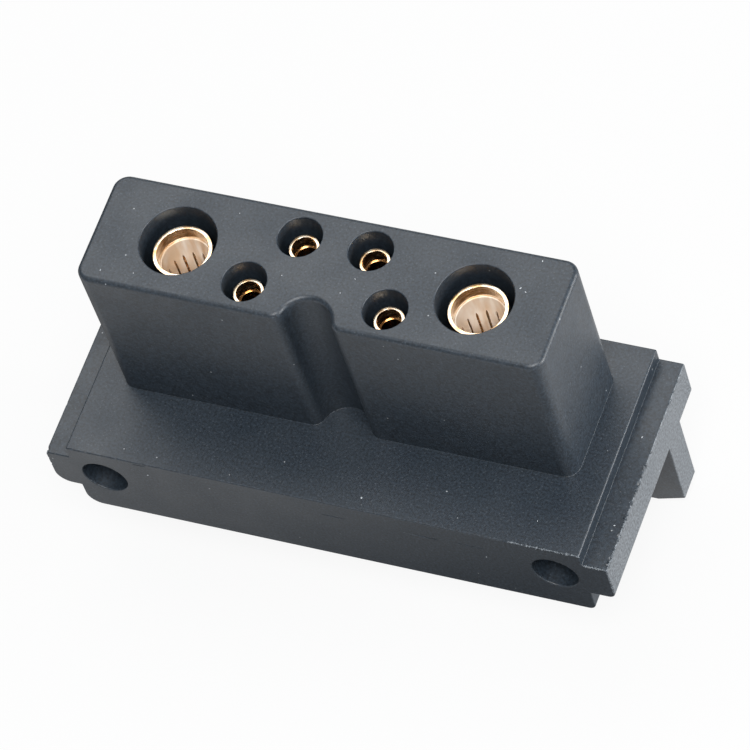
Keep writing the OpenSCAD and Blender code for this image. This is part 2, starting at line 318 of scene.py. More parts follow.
def shade(thing, crease):
    """Smooth shading with flat faces kept flat, broken at edges sharper than the crease in degrees."""
    thing.data.shade_smooth()
    thing.data.set_sharp_from_angle(angle=math.radians(crease))
    normals = thing.modifiers.new("flat faces", "WEIGHTED_NORMAL")
    normals.keep_sharp = True
    settle(thing)


def outline(arcs, grow):
    """Points of a closed outline of tangent arcs, grown outwards.

    An arc is centre, radius, two angles and steps. One that runs clockwise is hollow, so it shrinks where the
    others grow.
    """
    points = []
    for (u, v), radius, first, last, steps in arcs:
        reach = radius + (grow if last > first else -grow)
        for step in range(steps + 1):
            angle = math.radians(first + (last - first) * step / steps)
            points.append((u + reach * math.cos(angle), v + reach * math.sin(angle)))
    return points


def mirrored(arcs):
    """The mirror image of the right half of an outline, to follow it."""
    return [((-u, v), radius, 180 - last, 180 - first, steps)
            for (u, v), radius, first, last, steps in reversed(arcs)]


def rounded(corners):
    """A closed outline whose corners, each (u, v, radius), are rounded."""
    points = []
    for i, (u, v, radius) in enumerate(corners):
        here = Vector((u, v))
        if radius <= WELD:
            points.append(here)
            continue
        before = (Vector(corners[i - 1][:2]) - here).normalized()
        after = (Vector(corners[(i + 1) % len(corners)][:2]) - here).normalized()
        half = before.angle(after) / 2
        middle = here + (before + after).normalized() * radius / math.sin(half)
        first = here + before * radius / math.tan(half) - middle
        last = here + after * radius / math.tan(half) - middle
        sweep = first.angle(last)
        for step in range(RIM_STEPS + 1):
            ahead = sweep * step / RIM_STEPS
            spoke = (first * math.sin(sweep - ahead) + last * math.sin(ahead)) / math.sin(sweep)
            points.append(middle + spoke)
    return points


def loft(rings, closed=False):
    """A mesh through rings of as many points each, capped at both ends or else closed from last to first."""
    mesh = bmesh.new()
    loops = [[mesh.verts.new(point) for point in ring] for ring in rings]
    for near, far in zip(loops, loops[1:] + loops[:1] if closed else loops[1:]):
        for i in range(len(near)):
            mesh.faces.new((near[i - 1], near[i], far[i], far[i - 1]))
    if not closed:
        mesh.faces.new(loops[0])
        mesh.faces.new(loops[-1])
    bmesh.ops.remove_doubles(mesh, verts=mesh.verts, dist=WELD)
    bmesh.ops.recalc_face_normals(mesh, faces=mesh.faces)
    return mesh


def revolve(points, segments, place, start=0.0, sweep=2 * math.pi):
    """A mesh turned from a closed outline of (radius, height) points about an upright axis."""
    whole = sweep > 2 * math.pi - WELD
    rings = []
    for step in range(segments if whole else segments + 1):
        angle = start + sweep * step / segments
        side = Vector((math.cos(angle), math.sin(angle)))
        rings.append([(place[0] + r * side.x, place[1] + r * side.y, z) for r, z in points])
    return loft(rings, whole)


def quarter(radius, steps):
    """Steps of a quarter round, as pairs: one falls from the radius to 0, and one rises from 0 to it."""
    angles = [math.pi / 2 * step / steps for step in range(steps + 1)]
    return [(radius * (1 - math.sin(a)), radius * (1 - math.cos(a))) for a in angles]


def block(low, high):
    """A plain box between two corners, used only to cut."""
    mesh = bmesh.new()
    bmesh.ops.create_cube(mesh, size=1.0)
    middle = (Vector(low) + Vector(high)) / 2
    size = Vector(high) - Vector(low)
    lay = Matrix.Translation(middle) @ Matrix.Diagonal((*size, 1.0))
    bmesh.ops.transform(mesh, matrix=lay, verts=mesh.verts)
    return mesh


def contact_place(kind, place):
    """Axis of a contact, as (x, y), from its box in the frame."""
    low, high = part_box(f"{kind}_contact_{place}")
    return (low.x + high.x) / 2, (low.y + high.y) / 2


def hand_over(thing, slot, *nodes):
    """Fixes a finished piece to the frame in place of the nodes that it stands for."""
    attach(thing, BODY)
    if nodes:
        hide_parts(*nodes)


# Materials

def per(size_mm):
    """Scale of a pattern whose repeats are this many millimetres apart."""
    return 1.0 / (size_mm * MM)


def rgba(colour):
    """A colour property with full cover."""
    return (*colour, 1.0)


# Sockets of a colour mix, and the output and setting that make it one
FACTOR, BELOW, ABOVE = 0, 6, 7
IN_COLOUR = {"out": 2, "data_type": "RGBA"}


def blank(name):
    """A new material, its tree, its shader and the spot on the piece that its patterns read."""
    material = bpy.data.materials.new(name)
    material.use_nodes = True
    tree = material.node_tree
    return material, tree, tree.nodes["Principled BSDF"], add(tree, "ShaderNodeTexCoord", out="Object")


def glass_filled_nylon(finish):
    """Glass filled nylon, injection moulded in a spark-eroded mould.

    It gives the eye a charcoal skin with a broad soft sheen, a fine grain, pale fibre ends, some dust and
    outer end faces painted pale in spots, as a painted highlight.
    """
    material, tree, shader, spot = blank("glass_filled_nylon")
    # The grain is drawn coarser than the mould's, so that it shows in the picture
    grain = add(tree, "ShaderNodeTexNoise", {
        "Vector": spot, "Scale": per(0.2), "Detail": 3.0, "Roughness": 0.65})
    cloud = add(tree, "ShaderNodeTexNoise", {"Vector": spot, "Scale": per(4.0), "Detail": 2.0})
    fibre = add(tree, "ShaderNodeTexVoronoi", {"Vector": spot, "Scale": per(0.3)})
    speck = add(tree, "ShaderNodeTexVoronoi", {"Vector": spot, "Scale": per(1.9)})
    tone = add(tree, "ShaderNodeMapRange", {"Value": grain, "From Min": 0.36, "From Max": 0.62})
    ends = add(tree, "ShaderNodeMapRange", {
        "Value": fibre, "From Min": 0.24, "From Max": 0.08, "To Max": 0.2})
    dust = add(tree, "ShaderNodeMapRange", {
        "Value": speck, "From Min": 0.04, "From Max": 0.025, "To Max": 0.5})
    # Painted highlight: the outer end faces are painted paler in spots, through a thin skin
    side = add(tree, "ShaderNodeSeparateXYZ", {"Vector": spot}, "X")
    across = add(tree, "ShaderNodeMath", {0: side}, operation="ABSOLUTE")
    outer = add(tree, "ShaderNodeMapRange", {
        "Value": across, "From Min": HOUSING_HIGH.x - 0.12 * MM, "From Max": HOUSING_HIGH.x - 0.04 * MM})
    spots = add(tree, "ShaderNodeMapRange", {
        "Value": grain, "From Min": 0.27, "From Max": 0.75, "To Max": 0.52})
    painted_end_highlight = add(tree, "ShaderNodeMath", {0: outer, 1: spots}, operation="MULTIPLY")
    # The last layer is the painted highlight on the outer end faces
    skin = rgba(finish.nylon_dark)
    for cover, colour in (
            (tone, finish.nylon), (ends, finish.nylon_fibre), (dust, finish.dust), (painted_end_highlight, finish.torn_and_painted_highlight)):
        skin = add(tree, "ShaderNodeMix", {FACTOR: cover, BELOW: skin, ABOVE: rgba(colour)}, **IN_COLOUR)
    gloss = add(tree, "ShaderNodeMapRange", {
        "Value": cloud, "From Min": 0.3, "From Max": 0.7, "To Min": 0.4, "To Max": 0.5})
    relief = add(tree, "ShaderNodeBump", {"Height": grain, "Strength": 0.35, "Distance": 0.03 * MM})
    feed(tree, shader, {"Base Color": skin, "Roughness": gloss, "Normal": relief, "IOR": 1.53})
    return material


def torn_nylon(finish):
    """Nylon torn off at the mould's parting line, which gives a pale, rough, broken edge."""
    material, tree, shader, spot = blank("torn_nylon")
    grain = add(tree, "ShaderNodeTexNoise", {"Vector": spot, "Scale": per(0.2), "Detail": 3.0})
    tone = add(tree, "ShaderNodeMapRange", {"Value": grain, "From Min": 0.35, "From Max": 0.6, "To Max": 0.6})
    skin = add(tree, "ShaderNodeMix", {
        FACTOR: tone, BELOW: rgba(finish.nylon), ABOVE: rgba(finish.torn_and_painted_highlight)}, **IN_COLOUR)
    relief = add(tree, "ShaderNodeBump", {"Height": grain, "Strength": 0.5, "Distance": 0.04 * MM})
    feed(tree, shader, {"Base Color": skin, "Normal": relief, "Roughness": 0.62, "IOR": 1.53})
    return material


def house_dust(finish):
    """House dust, settled: pale matt flecks, greyer where they are thin."""
    material, tree, shader, spot = blank("house_dust")
    lint = add(tree, "ShaderNodeTexNoise", {"Vector": spot, "Scale": per(0.15), "Detail": 2.0})
    skin = add(tree, "ShaderNodeMix", {
        FACTOR: lint, BELOW: rgba(finish.torn_and_painted_highlight), ABOVE: rgba(finish.dust)}, **IN_COLOUR)
    feed(tree, shader, {"Base Color": skin, "Roughness": 0.9})
    return material


# Metals: pale and dark colour, spacing of the marks in millimetres and their axis, roughness, metallic
METALS = {
    # Brass, turned and gold plated: bright cream edges, brown where it mirrors the dark, rings from the lathe
    "gold_plated_brass": ("gold", "gold_dark", 0.12, 2, 0.22, 1.0),
    # Copper spring alloy, gold plated, painted lit for the power springs: rosy cream strips, lighter and
    # darker, along the beams
    "satin_spring_alloy": ("spring_gold_painted_lit", "spring_dark_painted_lit", 0.5, 0, 0.45, 0.25),
    # The same alloy, painted shaded for the signal springs: it mirrors the dark of its bore as a deep red
    # brown
    "bright_spring_alloy": ("spring_gold_painted_shaded", "spring_dark_painted_shaded", 0.5, 0, 0.2, 1.0),
    # Spring steel, stamped from strip: grey, with the rolling grain across its flat faces
    "spring_steel": ("steel", "steel_dark", 0.1, 1, 0.34, 1.0),
}
# Scale of the marks along their length
MARK_STRETCH = 0.15


def metal(name, finish):
    """A metal skin with fine parallel marks, set out along an axis, which break up what it mirrors."""
    pale, dark, mark_mm, mark_axis, roughness, metallic = METALS[name]
    material, tree, shader, spot = blank(name)
    stretch = [MARK_STRETCH] * 3
    stretch[mark_axis] = 1.0
    drawn = add(tree, "ShaderNodeMapping", {"Vector": spot, "Scale": tuple(stretch)})
    marks = add(tree, "ShaderNodeTexNoise", {"Vector": drawn, "Scale": per(mark_mm), "Detail": 3.0})
    tone = add(tree, "ShaderNodeMapRange", {"Value": marks, "From Min": 0.35, "From Max": 0.65})
    skin = add(tree, "ShaderNodeMix", {
        FACTOR: tone, BELOW: rgba(getattr(finish, dark)), ABOVE: rgba(getattr(finish, pale))}, **IN_COLOUR)
    gloss = add(tree, "ShaderNodeMapRange", {
        "Value": marks, "From Min": 0.3, "From Max": 0.7,
        "To Min": roughness * 0.75, "To Max": roughness * 1.3})
    relief = add(tree, "ShaderNodeBump", {"Height": marks, "Strength": 0.25, "Distance": 0.01 * MM})
    feed(tree, shader, {"Base Color": skin, "Roughness": gloss, "Normal": relief, "Metallic": metallic})
    return material


# Housing

def tower(size):
    """The tower: a rounded block with the keyway in its front, a fillet at its foot and a round face edge."""
    half_x = size.tower_len / 2
    half_y = size.tower_dep / 2
    middle = size.front_land + half_y
    r = size.tower_corner_r
    inside = size.keyway_depth - size.keyway_r
    lip = size.keyway_lip_r
    lip_x = math.sqrt((size.keyway_r + lip) ** 2 - (lip - inside) ** 2)
    lean = math.degrees(math.atan2(lip - inside, lip_x))
    arcs = [
        ((0.0, -half_y + inside), size.keyway_r, 90, lean, KEYWAY_STEPS),
        ((lip_x, -half_y + lip), lip, 180 + lean, 270, CORNER_STEPS),
        ((half_x - r, -half_y + r), r, -90, 0, TOWER_STEPS),
        ((half_x - r, half_y - r), r, 0, 90, TOWER_STEPS),
    ]
    arcs += mirrored(arcs)
    foot, top = size.plate_top, HOUSING_HIGH.z
    stations = [(size.foot_r, foot - OVER)]
    stations += [(fall, foot + rise) for fall, rise in quarter(size.foot_r, CORNER_STEPS)[1:]]
    stations += [(-rise, top - fall) for fall, rise in quarter(size.face_edge_r, EDGE_STEPS)]
    return loft([[(u, v + middle, z) for u, v in outline(arcs, out)] for out, z in stations])


def base(size):
    """Plate, end tongues and front beam as one bar: its section is lofted from front to back."""
    half_plate = size.plate_len / 2
    half_base = HOUSING_HIGH.x
    drop = size.underside - size.beam_bottom

    def end(corner, beam):
        """Outline of the right end, from the beam's foot up, where the beam reaches this far down."""
        low = min(corner, beam / 2)
        inner = min(size.inner_corner_r, beam / 2)
        fillet = size.inner_corner_r
        edge = size.edge_r
        # Behind the beam its corners shrink to one point on the underside
        first, middle, last = (-90, 0, 180) if beam else (90, 90, 90)
        return [
            ((half_plate - low, size.underside - beam + low), low, first, middle, CORNER_STEPS),
            ((half_plate + inner, size.underside - inner), inner, last, 90, FILLET_STEPS),
            ((half_base - corner, size.underside + corner), corner, -90, 0, CORNER_STEPS),
            ((half_base - edge, size.tongue_top - edge), edge, 0, 90, EDGE_STEPS),
            ((half_plate + fillet, size.tongue_top + fillet), fillet, 270, 180, FILLET_STEPS),
            ((half_plate - edge, size.plate_top - edge), edge, 0, 90, EDGE_STEPS),
        ]

    def ring(out, y, beam):
        """The whole section at a depth, grown outwards."""
        arcs = end(size.right_corner_r, beam) + mirrored(end(size.left_corner_r, beam))
        return [(x, y, z) for x, z in outline(arcs, out)]

    rim = quarter(size.rim_r, RIM_STEPS)
    rings = [ring(-fall, rise, drop) for fall, rise in rim]
    rings += [ring(0.0, size.beam_t - fall, drop - rise) for fall, rise in rim]
    rings.append(ring(0.0, size.beam_t, 0.0))
    rings += [ring(-rise, HOUSING_HIGH.y - fall, 0.0) for fall, rise in rim]
    return loft(rings)


def leg(size, side):
    """A leg under the end of a tongue, with its slanted tip; side is 1 at the right and -1 at the left."""
    outer = HOUSING_HIGH.x - LEG_GAP
    inner = HOUSING_HIGH.x - size.leg_len
    tip = HOUSING_LOW.z
    edge = size.rim_r
    points = rounded([
        (outer, size.underside + OVER, 0.0),
        (inner, size.underside + OVER, 0.0),
        (inner, tip, edge),
        (HOUSING_HIGH.x - size.leg_tip_len, tip, edge),
        (outer, tip + size.leg_tip_drop, edge),
    ])
    middle = sum(points, Vector((0, 0))) / len(points)
    back = size.leg_front + size.leg_t
    # The front and back edges are rounded by drawing the end rings in towards the leg's middle
    turned = quarter(edge, FILLET_STEPS)
    stations = [(fall, size.leg_front + rise) for fall, rise in turned]
    stations += [(rise, back - fall) for fall, rise in turned]
    rings = []
    for draw, y in stations:
        ring = []
        for point in points:
            inward = middle - point
            x, z = point + Vector((math.copysign(draw, inward.x), math.copysign(draw, inward.y)))
            ring.append((side * x, y, z))
        rings.append(ring)
    return loft(rings)


def contact_cutter(size, kind, place):
    """The cavity of a contact with its round mouth, and the shank's hole through its floor."""
    cavity = getattr(size, f"{kind}_cavity_d") / 2
    shank = getattr(size, f"{kind}_shank_hole_d") / 2
    low, floor, top = size.underside - OVER, size.cavity_floor, HOUSING_HIGH.z
    profile = [(0.0, low), (shank, low), (shank, floor), (cavity, floor)]
    profile += [(cavity + rise, top - fall) for fall, rise in quarter(size.mouth_r, RIM_STEPS)]
    profile += [(cavity + size.mouth_r, top + OVER), (0.0, top + OVER)]
    return revolve(profile, CAVITY_SEGMENTS, contact_place(kind, place))


def screw_cutter(size, x):
    """A screw hole through the beam, with a slightly round mouth."""
    radius = size.screw_d / 2
    profile = [(0.0, -OVER), (radius + size.mouth_r, -OVER)]
    profile += [(radius + fall, rise) for fall, rise in quarter(size.mouth_r, RIM_STEPS)]
    profile += [(radius, size.beam_t + OVER), (0.0, size.beam_t + OVER)]
    mesh = revolve(profile, SCREW_SEGMENTS, (0.0, 0.0))
    lay = Matrix.Translation((x, 0.0, 0.0)) @ Matrix.Rotation(-math.pi / 2, 4, "X")
    bmesh.ops.transform(mesh, matrix=lay, verts=mesh.verts)
    return mesh


def lump(chance, place, size):
    """An uneven pebble that takes a nick or a dent out of the housing."""
    mesh = bmesh.new()
    bmesh.ops.create_icosphere(mesh, subdivisions=2, radius=1.0)
    for point in mesh.verts:
        point.co *= chance.uniform(*PEBBLE)
    lay = Matrix.Translation(place) @ Matrix.Diagonal((*size, 1.0))
    bmesh.ops.transform(mesh, matrix=lay, verts=mesh.verts)
    return mesh


def gather(meshes):
    """Several meshes that don't touch, as one."""
    whole = bmesh.new()
    for mesh in meshes:
        data = bpy.data.meshes.new("part")
        mesh.to_mesh(data)
        mesh.free()
        whole.from_mesh(data)
        bpy.data.meshes.remove(data)
    return whole


# Thin dents along the front face, as first x, last x and height, in millimetres
FRONT_DENTS = ((-0.2, 2.1, 1.55), (6.5, 9.5, 1.4), (10.6, 13.2, 1.5), (-15.6, -14.2, 3.15))
# Where the middle of a dent's pebble lies, and half its depth and height, in millimetres
DENT_Y, DENT_DEPTH, DENT_HEIGHT = -0.02, 0.09, 0.1
# Stretches of edge with nicks: first and last point, deepest nick, in millimetres, and the number of nicks
NICKED_EDGES = (
    ((14.8, 0.0, 3.4), (21.0, 0.0, 3.4), 0.14, 9),
    ((21.3, 0.0, 2.1), (23.0, 0.0, 2.1), 0.16, 4),
    ((23.0, 0.2, 2.1), (23.0, 9.5, 2.1), 0.3, 18),
    ((23.0, 10.0, 2.1), (23.0, 17.5, 2.1), 0.18, 7),
    ((23.0, 0.0, -1.2), (23.0, 0.0, 1.8), 0.18, 5),
    ((-21.0, 0.0, 3.4), (-13.0, 0.0, 3.4), 0.12, 6),
    ((-23.0, 0.5, 2.1), (-23.0, 12.0, 2.1), 0.16, 6),
    ((-23.0, 0.0, -0.4), (-23.0, 0.0, 1.7), 0.2, 3),
    ((-23.0, 0.0, 2.1), (-23.0, 0.5, 2.1), 0.42, 2),
)
# A nick's place in its part of the stretch, its depth as a share of the deepest, and its reach in millimetres
NICK_PLACE, NICK_DEPTH, NICK_REACH = (0.1, 0.9), (0.5, 1.0), (0.12, 0.4)
# How far the points of a pebble lie from its middle, where 1 is even
PEBBLE = (0.8, 1.2)


def wear_cutter(size):
    """The dents in the front face and the nicks along the base's edges."""
    chance = random.Random(size.nick_seed)
    lumps = []
    for first, last, height in FRONT_DENTS:
        reach = (last - first) / 2 * MM
        place = ((first + last) / 2 * MM, DENT_Y * MM, height * MM)
        lumps.append(lump(chance, place, (reach, DENT_DEPTH * MM, DENT_HEIGHT * MM)))
    for first, last, deepest, count in NICKED_EDGES:
        first, last = Vector(first), Vector(last)
        axis = max(range(3), key=lambda i: abs((last - first)[i]))
        for i in range(count):
            spot = first.lerp(last, (i + chance.uniform(*NICK_PLACE)) / count) * MM
            reach = [chance.uniform(*NICK_DEPTH) * deepest * MM] * 3
            reach[axis] = chance.uniform(*NICK_REACH) * MM
            lumps.append(lump(chance, spot, reach))
    return gather(lumps)


class SOCKET_OT_housing(Operator):
    """Moulds the housing: base, legs and tower, with the cavities, the screw holes and the worn edges"""

    bl_idname = "socket.housing"
    bl_label = "Mould the Housing"

    def execute(self, context):
        size = context.scene.socket_housing
        nylon = glass_filled_nylon(context.scene.socket_finish)
        housing = make("moulded_housing", base(size), nylon)
        combine(housing, [
            make("tower", tower(size)),
            make("leg_left", leg(size, -1)),
            make("leg_right", leg(size, 1)),
        ], "UNION")
        holes = [contact_cutter(size, kind, place) for kind, place in CONTACTS]
        room = size.screw_d / 2 + size.pocket_room
        pockets = []
        for x in (-size.screw_x, size.screw_x):
            holes.append(screw_cutter(size, x))
            pockets.append(block((x - room, size.beam_t, size.underside - OVER),
                                 (x + room, size.leg_front, room)))
        combine(housing, [
            make("holes", gather(holes)),
            make("pockets", gather(pockets)),
            make("wear", wear_cutter(size)),
        ], "DIFFERENCE")
        shade(housing, crease=32)
        hand_over(housing, "housing", "housing")
        return {"FINISHED"}


# Contacts

class SOCKET_OT_contacts(Operator):
    """Turns the six contacts: barrel with the pin bore, collar, ring groove, shank and cut solder cup"""

    bl_idname = "socket.contacts"
    bl_label = "Turn the Contacts"

    def execute(self, context):
        gold = metal("gold_plated_brass", context.scene.socket_finish)
        for kind, place in CONTACTS:
            self.turn(context.scene, kind, place, gold)
        return {"FINISHED"}

    def turn(self, scene, kind, place, gold):
        """Turns one contact and cuts its solder cup open."""
        size = scene.socket_contacts
        node = f"{kind}_contact_{place}"
        low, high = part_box(node)
        spring_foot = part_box(f"{kind}_spring_{place}")[0].z
        barrel, bore, tip, shank, cup = (
            getattr(size, f"{kind}_{what}_d") / 2 for what in ("barrel", "bore", "tip", "shank", "cup"))
        collar = (high.x - low.x) / 2
        collar_top = size.collar_z + getattr(size, f"{kind}_collar_t")
        groove_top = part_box(f"{kind}_clip_{place}")[1].z + scene.socket_clips.clear
        cup_floor = size.groove_bottom - size.cup_web
        groove = shank - size.groove_depth
        edge = size.edge_r
        step = size.step_r
        rim = size.rim_share * (barrel - bore)
        corners = [
            (cup, low.z, edge), (shank, low.z, edge), (shank, size.groove_bottom, edge),
            (groove, size.groove_bottom, edge), (groove, groove_top, edge), (shank, groove_top, edge),
            (shank, size.collar_z, edge), (collar, size.collar_z, edge), (collar, collar_top, edge),
            (barrel, collar_top, edge), (barrel, high.z, rim), (bore, high.z, rim),
            (bore, spring_foot, step), (tip, spring_foot, step), (tip, size.bore_floor, edge),
            (0.0, size.bore_floor - size.drill_point, 0.0), (0.0, cup_floor, 0.0), (cup, cup_floor, 2 * edge),
        ]
        axis = contact_place(kind, place)
        contact = make(f"turned_{node}", revolve(rounded(corners), size.segments, axis), gold)
        cut = block((axis[0] - 2 * shank, axis[1] - 2 * shank, low.z - OVER),
                    (axis[0] + 2 * shank, axis[1], cup_floor - size.cup_ring))
        combine(contact, [make("cup_cut", cut)], "DIFFERENCE")
        shade(contact, crease=40)
        hand_over(contact, "contact", node)


# Springs

def node_tree(name, **inputs):
    """A geometry tree with named inputs, listed by their kind, its input's sockets and its output node."""
    tree = bpy.data.node_groups.new(name, "GeometryNodeTree")
    for kind, labels in inputs.items():
        for label in labels:
            tree.interface.new_socket(label, in_out="INPUT", socket_type=f"NodeSocket{kind}")
    tree.interface.new_socket("Geometry", in_out="OUTPUT", socket_type="NodeSocketGeometry")
    return tree, tree.nodes.new("NodeGroupInput").outputs, tree.nodes.new("NodeGroupOutput")


def grow(name, tree, values, mesh=None):
    """A plain mesh piece made by a geometry tree from values by the inputs' names."""
    thing = make(name, mesh or bmesh.new())
    modifier = thing.modifiers.new("grow", "NODES")
    modifier.node_group = tree
    for item in tree.interface.items_tree:
        if item.in_out == "INPUT" and item.name in values:
            modifier[item.identifier] = values[item.name]
    settle(thing)
    return thing


# Points of a spring's sheet closer than this are one point
SHEET_WELD = 1e-6
# The higher this is, the shorter is the round end of the slot between two beams
SLOT_END = 9.0
# How a point of a flat strip, with x and y from -0.5 to 0.5, finds its place on a beam: name, sum and terms
BEAM_RULES = (
    ("rise", "SUBTRACT", "Head", "Foot"),
    ("up", "ADD", "y", 0.5),
    ("height", "MULTIPLY_ADD", "up", "rise", "Foot"),
    # Place along the beam between its bands, from -1 to 1
    ("between", "MULTIPLY_ADD", "Band height", -2.0, "rise"),
    ("ratio", "DIVIDE", "rise", "between"),
    ("half along", "MULTIPLY", "y", "ratio"),
    ("far along", "MULTIPLY", "half along", 2.0),
    ("not over", "MINIMUM", "far along", 1.0),
    ("along", "MAXIMUM", "not over", -1.0),
    ("square", "MULTIPLY", "along", "along"),
    # The beam bows in to the throat
    ("bow", "SUBTRACT", "Band", "Throat"),
    ("radius", "MULTIPLY_ADD", "bow", "square", "Throat"),
    # The slot between two beams closes in a round end
    ("closing", "POWER", "square", SLOT_END),
    ("slot", "SUBTRACT", 1.0, "Fill"),
    ("width", "MULTIPLY_ADD", "slot", "closing", "Fill"),
    ("pitch", "DIVIDE", 2 * math.pi, "Beams"),
    ("full angle", "MULTIPLY", "x", "pitch"),
    ("angle", "MULTIPLY", "full angle", "width"),
    ("cosine", "COSINE", "angle"),
    ("sine", "SINE", "angle"),
    ("out x", "MULTIPLY", "radius", "cosine"),
    ("out y", "MULTIPLY", "radius", "sine"),
    # Turn of each strip about the axis
    ("facing", "MULTIPLY", "index", "pitch"),
)


def crown_spring_tree():
    """A crown spring: a bent strip of sheet for each beam, joined in a band at each end, and made thick."""
    tree, given, result = node_tree(
        "crown spring", Float=["Throat", "Band", "Sheet", "Foot", "Head", "Band height", "Fill"],
        Int=["Beams", "Across", "Along"], Material=["Material"])
    strip = add(tree, "GeometryNodeMeshGrid", {
        "Size X": 1.0, "Size Y": 1.0, "Vertices X": given["Across"], "Vertices Y": given["Along"]})
    spot = add(tree, "ShaderNodeSeparateXYZ", {"Vector": add(tree, "GeometryNodeInputPosition")}).node.outputs
    known = {socket.name: socket for socket in given}
    known.update(x=spot["X"], y=spot["Y"], index=add(tree, "GeometryNodeInputIndex"))
    for name, operation, *terms in BEAM_RULES:
        inputs = {i: known.get(term, term) for i, term in enumerate(terms)}
        known[name] = add(tree, "ShaderNodeMath", inputs, operation=operation)
    place = add(tree, "ShaderNodeCombineXYZ", {
        "X": known["out x"], "Y": known["out y"], "Z": known["height"]})
    bent = add(tree, "GeometryNodeSetPosition", {"Geometry": strip, "Position": place})
    # One strip for each beam, turned about the axis
    ring = add(tree, "GeometryNodeMeshLine", {"Count": given["Beams"], "Offset": (0.0, 0.0, 0.0)})
    facing = add(tree, "ShaderNodeCombineXYZ", {"Z": known["facing"]})
    around = add(tree, "GeometryNodeInstanceOnPoints", {"Points": ring, "Instance": bent, "Rotation": facing})
    real = add(tree, "GeometryNodeRealizeInstances", {"Geometry": around})
    sheet = add(tree, "GeometryNodeMergeByDistance", {"Geometry": real, "Distance": SHEET_WELD})
    outer = add(tree, "GeometryNodeExtrudeMesh", {
        "Mesh": sheet, "Offset Scale": given["Sheet"], "Individual": False})
    inner = add(tree, "GeometryNodeFlipFaces", {"Mesh": sheet})
    both = add(tree, "GeometryNodeJoinGeometry", {"Geometry": [outer, inner]})
    whole = add(tree, "GeometryNodeMergeByDistance", {"Geometry": both, "Distance": SHEET_WELD})
    done = add(tree, "GeometryNodeSetMaterial", {"Geometry": whole, "Material": given["Material"]})
    feed(tree, result, {"Geometry": done})
    return tree


class SOCKET_OT_springs(Operator):
    """Forms the six crown springs inside the barrels"""

    bl_idname = "socket.springs"
    bl_label = "Form the Springs"

    def execute(self, context):
        size = context.scene.socket_springs
        finish = context.scene.socket_finish
        # Lit and shaded copies of one plating: painted lit for the power springs, painted shaded for the
        # signal springs
        alloys = {
            "power": metal("satin_spring_alloy", finish),
            "signal": metal("bright_spring_alloy", finish),
        }
        tree = crown_spring_tree()
        for kind, place in CONTACTS:
            node = f"{kind}_spring_{place}"
            low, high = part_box(node)
            sheet = getattr(size, f"{kind}_sheet")
            spring = grow(f"formed_{node}", tree, {
                "Throat": getattr(size, f"{kind}_throat_d") / 2,
                "Band": (high.x - low.x) / 2 - sheet,
                "Sheet": sheet,
                "Foot": low.z,
                "Head": high.z,
                "Band height": size.band_h,
                "Beams": size.beams,
                "Fill": size.fill,
                "Across": size.across,
                "Along": size.along,
                "Material": alloys[kind],
            })
            x, y = contact_place(kind, place)
            spring.data.transform(Matrix.Translation((x, y, 0.0)))
            shade(spring, crease=50)
            hand_over(spring, "spring", node)
        return {"FINISHED"}


# Retaining rings

class SOCKET_OT_clips(Operator):
    """Presses an open retaining ring into the groove of each shank, under the housing"""

    bl_idname = "socket.clips"
    bl_label = "Press on the Rings"

    def execute(self, context):
        size = context.scene.socket_clips
        turned = context.scene.socket_contacts
        steel = metal("spring_steel", context.scene.socket_finish)
        start = math.pi / 2 + size.opening / 2
        sweep = 2 * math.pi - size.opening
        for kind, place in CONTACTS:
            node = f"{kind}_clip_{place}"
            low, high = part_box(node)
            inner = getattr(turned, f"{kind}_shank_d") / 2 - turned.groove_depth + size.clear
            outer = (high.x - low.x) / 2
            corners = ((inner, low.z), (outer, low.z), (outer, high.z), (inner, high.z))
            section = rounded([(*corner, size.edge_r) for corner in corners])
            ring = revolve(section, size.segments, contact_place(kind, place), start, sweep)
            clip = make(f"stamped_{node}", ring, steel)
            shade(clip, crease=40)
            hand_over(clip, "clip", node)
        return {"FINISHED"}


# Mould flash and dust

# Stretches of edge with torn flash, as points in millimetres
FLASH_ROUTES = (
    ((15.4, 0.04, 3.38), (20.95, 0.04, 3.38)),
    ((21.2, 0.04, 2.08), (22.9, 0.04, 2.08)),
    ((22.96, 0.2, 2.08), (22.96, 5.4, 2.08)),
)
# Specks of dust where they lie, as points in millimetres
DUST_SPOTS = (
    (-16.8, 7.35, 18.8), (-14.2, 7.65, 18.8), (14.97, 12.72, 18.8), (15.45, 12.48, 18.8), (15.8, 15.31, 18.8),
    (-3.0, 9.9, 18.8), (2.55, 10.8, 18.8), (1.86, 9.4, 18.8), (8.3, 12.6, 18.8), (-8.1, 14.4, 18.8),
    (16.98, 2.25, 3.4), (16.55, 14.5, 3.4), (9.4, 3.1, 3.4), (3.2, 1.1, 3.4), (-16.4, 1.0, 3.4),
    (-7.5, 0.7, 3.4), (22.3, 3.85, 2.1), (21.9, 11.6, 2.1), (13.06, 0.0, 0.29), (-14.4, 0.0, 1.9),
)
# Least and most of a bit's turn about each axis, in radians, and of its half sides, as shares of the reach
BIT_TURNS = ((-0.4, -0.4, -3.0), (0.4, 0.4, 3.0))
BIT_SHARES = ((0.25, 0.2, 0.2), (1.0, 0.55, 0.4))


